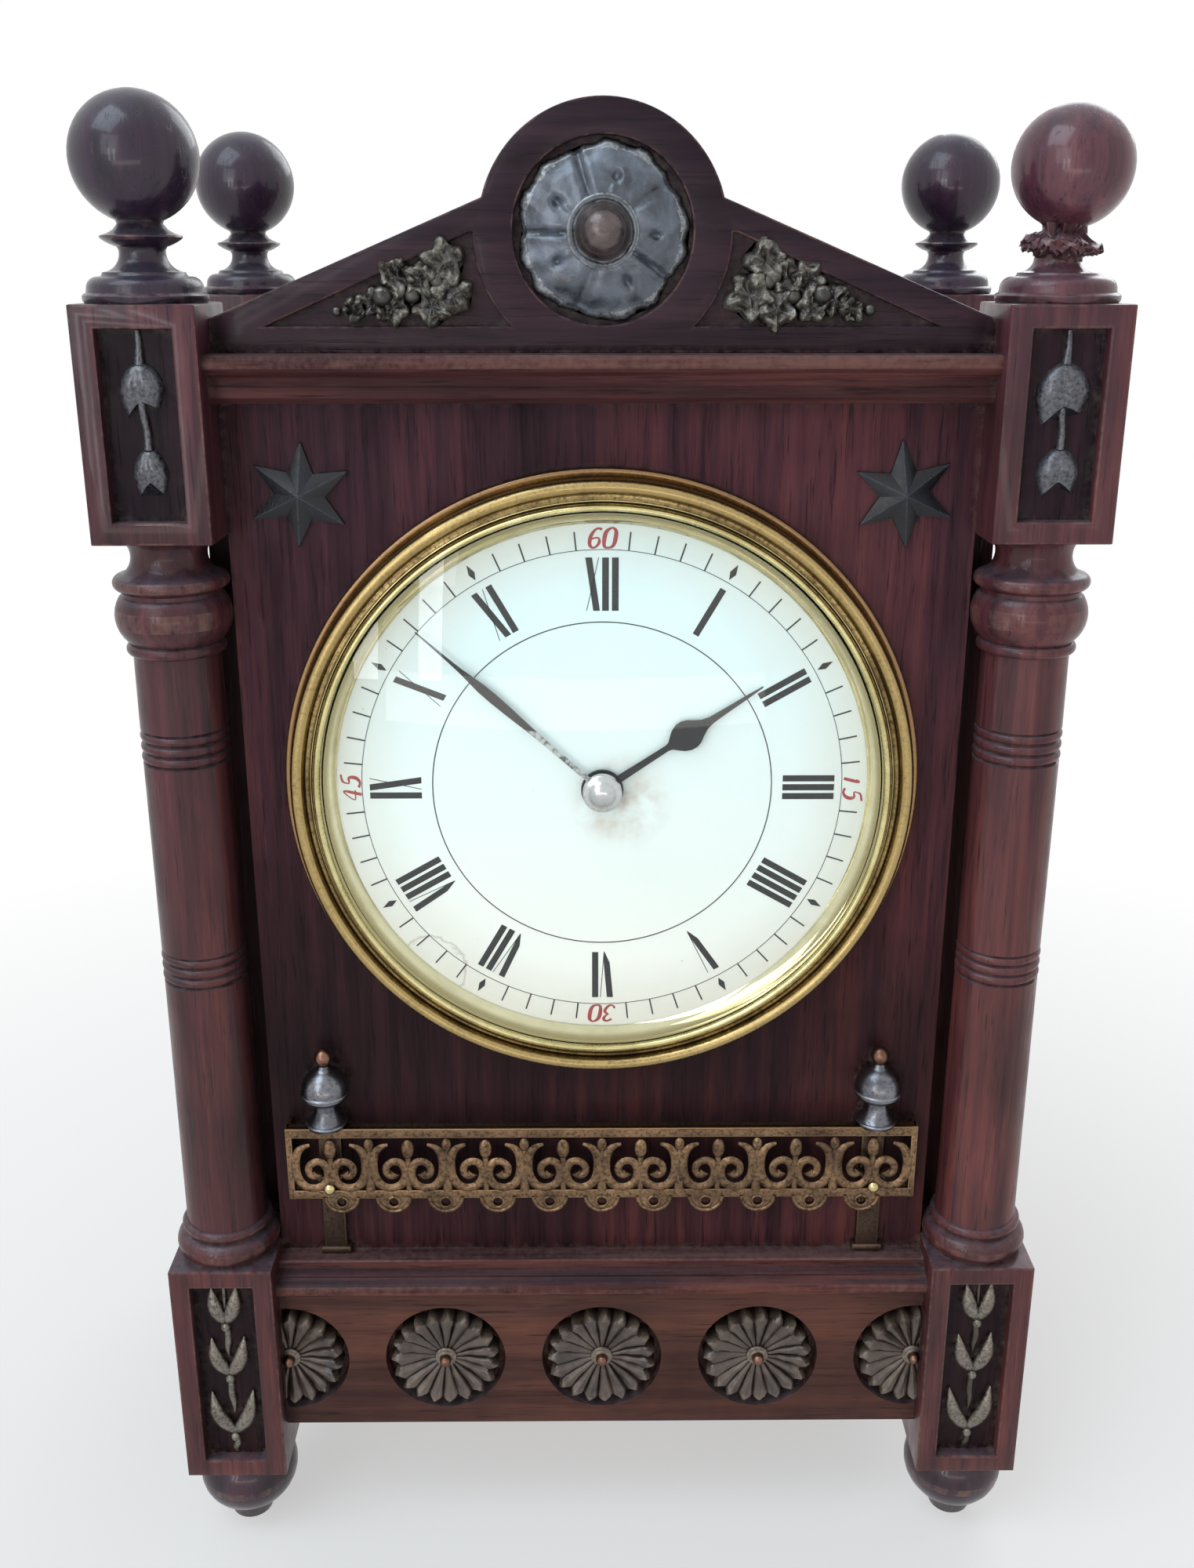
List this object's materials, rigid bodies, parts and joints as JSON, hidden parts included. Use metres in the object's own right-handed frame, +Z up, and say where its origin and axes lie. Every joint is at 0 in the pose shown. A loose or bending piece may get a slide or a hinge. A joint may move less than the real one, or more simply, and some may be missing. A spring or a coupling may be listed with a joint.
{
  "type": "columned mantel clock",
  "caption": "Small oak mantel clock with turned corner columns, ball finials, a carved pediment, a brass-bezelled dial and a back-wound spring movement behind a hinged door.",
  "frame": {"origin": "on the floor, under the middle of the case", "axes": "+Z up, -Y towards the front (the dial), +X to the right seen from the front"},
  "size_m": [0.1784, 0.1086, 0.2928],
  "materials": {
    "oak": "dark stained and waxed",
    "carved_oak": "carved, dark stained and bronzed",
    "brass": "aged",
    "steel": "polished",
    "black_steel": "blackened",
    "glass": "clear",
    "enamel": "white vitreous enamel on copper"
  },
  "bodies": {
    "case": {"front_panel": "oak", "side_panel_left": "oak", "side_panel_right": "oak", "back_frame": "oak", "top_board": "oak", "base_board": "oak", "glue_blocks": "oak", "post_front_left": "oak", "post_front_right": "oak", "post_rear_left": "oak", "post_rear_right": "oak", "finial_front_left": "oak", "finial_front_right": "oak", "finial_rear_left": "oak", "finial_rear_right": "oak", "turned_feet": "oak", "pediment_board": "oak", "cornice_moulding": "oak", "base_moulding": "oak", "plinth_rail": "oak", "pediment_rosette": "carved_oak", "pediment_leaves": "carved_oak", "plinth_rosettes": "carved_oak", "carved_stars": "carved_oak", "husk_drops": "carved_oak", "gallery_rail": "brass", "gallery_brackets": "brass", "gallery_urns": "brass", "gallery_pins": "brass", "bezel": "brass", "hinge_leaves_frame": "brass", "seat_ring": "brass", "front_plate": "brass", "back_plate": "brass", "plate_pillars": "brass", "movement_screws": "steel", "glass": "glass", "dial": "enamel"},
    "minute_work": {"centre_arbor": "steel", "cannon_pinion": "steel", "minute_hand": "black_steel", "hand_nut": "steel"},
    "hour_work": {"hour_wheel": "brass", "hour_hand": "black_steel"},
    "minute_wheel_body": {"minute_wheel": "brass"},
    "barrel_body": {"barrel": "brass", "mainspring": "steel"},
    "centre_wheel_body": {"centre_wheel": "brass"},
    "third_wheel_body": {"third_wheel": "brass"},
    "fourth_wheel_body": {"fourth_wheel": "brass"},
    "escape_wheel_body": {"escape_wheel": "steel"},
    "lever_body": {"pallet_lever": "steel"},
    "balance_body": {"balance_wheel": "brass", "hairspring": "steel"},
    "winding_body": {"winding_arbor": "steel", "ratchet_wheel": "steel"},
    "click_body": {"click": "steel"},
    "door_body": {"back_door": "oak", "hinge_leaves_door": "brass"},
    "turn_button_body": {"turn_button": "brass"}
  },
  "joints": [
    {"name": "minute_turn", "type": "hinge", "parent": "case", "child": "minute_work", "pos_m": [0, 0, 0.1707], "axis": [0, 1, 0], "continuous": true},
    {"name": "hour_turn", "type": "hinge", "parent": "case", "child": "hour_work", "pos_m": [0, 0, 0.1707], "axis": [0, 1, 0], "continuous": true},
    {"name": "minute_wheel_turn", "type": "hinge", "parent": "case", "child": "minute_wheel_body", "pos_m": [0.01039, 0, 0.1647], "axis": [0, 1, 0], "continuous": true},
    {"name": "barrel_turn", "type": "hinge", "parent": "case", "child": "barrel_body", "pos_m": [0, 0, 0.1497], "axis": [0, 1, 0], "continuous": true},
    {"name": "centre_wheel_turn", "type": "hinge", "parent": "case", "child": "centre_wheel_body", "pos_m": [0, 0, 0.1707], "axis": [0, 1, 0], "continuous": true},
    {"name": "third_wheel_turn", "type": "hinge", "parent": "case", "child": "third_wheel_body", "pos_m": [0.00993, 0, 0.17903], "axis": [0, 1, 0], "continuous": true},
    {"name": "fourth_wheel_turn", "type": "hinge", "parent": "case", "child": "fourth_wheel_body", "pos_m": [0.00272, 0, 0.18763], "axis": [0, 1, 0], "continuous": true},
    {"name": "escape_wheel_turn", "type": "hinge", "parent": "case", "child": "escape_wheel_body", "pos_m": [-0.00556, 0, 0.19457], "axis": [0, 1, 0], "continuous": true},
    {"name": "lever_rock", "type": "hinge", "parent": "case", "child": "lever_body", "pos_m": [-0.01162, 0, 0.19069], "axis": [0, 1, 0], "range_deg": [-5, 5]},
    {"name": "balance_swing", "type": "hinge", "parent": "case", "child": "balance_body", "pos_m": [-0.02106, 0, 0.18466], "axis": [0, 1, 0], "range_deg": [-135, 135], "stiffness_Nm_per_rad": 0.00002},
    {"name": "winding_turn", "type": "hinge", "parent": "case", "child": "winding_body", "pos_m": [0, 0, 0.1497], "axis": [0, 1, 0], "continuous": true},
    {"name": "click_lift", "type": "hinge", "parent": "case", "child": "click_body", "pos_m": [0.0114, 0, 0.15785], "axis": [0, 1, 0], "range_deg": [0, 15], "stiffness_Nm_per_rad": 0.001, "springref_deg": -5.73},
    {"name": "door_swing", "type": "hinge", "parent": "case", "child": "door_body", "pos_m": [0.0498, 0.0438, 0.14], "axis": [0, 0, -1], "range_deg": [0, 110]},
    {"name": "turn_button_turn", "type": "hinge", "parent": "case", "child": "turn_button_body", "pos_m": [-0.0554, 0.042, 0.1392], "axis": [0, 1, 0], "range_deg": [0, 90]}
  ],
  "couplings": [
    {"joint": "hour_turn", "follows": "minute_turn", "ratio": 0.083333},
    {"joint": "minute_wheel_turn", "follows": "minute_turn", "ratio": -0.33333},
    {"joint": "centre_wheel_turn", "follows": "barrel_turn", "ratio": -6},
    {"joint": "third_wheel_turn", "follows": "barrel_turn", "ratio": 48},
    {"joint": "fourth_wheel_turn", "follows": "barrel_turn", "ratio": -360},
    {"joint": "escape_wheel_turn", "follows": "barrel_turn", "ratio": 2880}
  ]
}
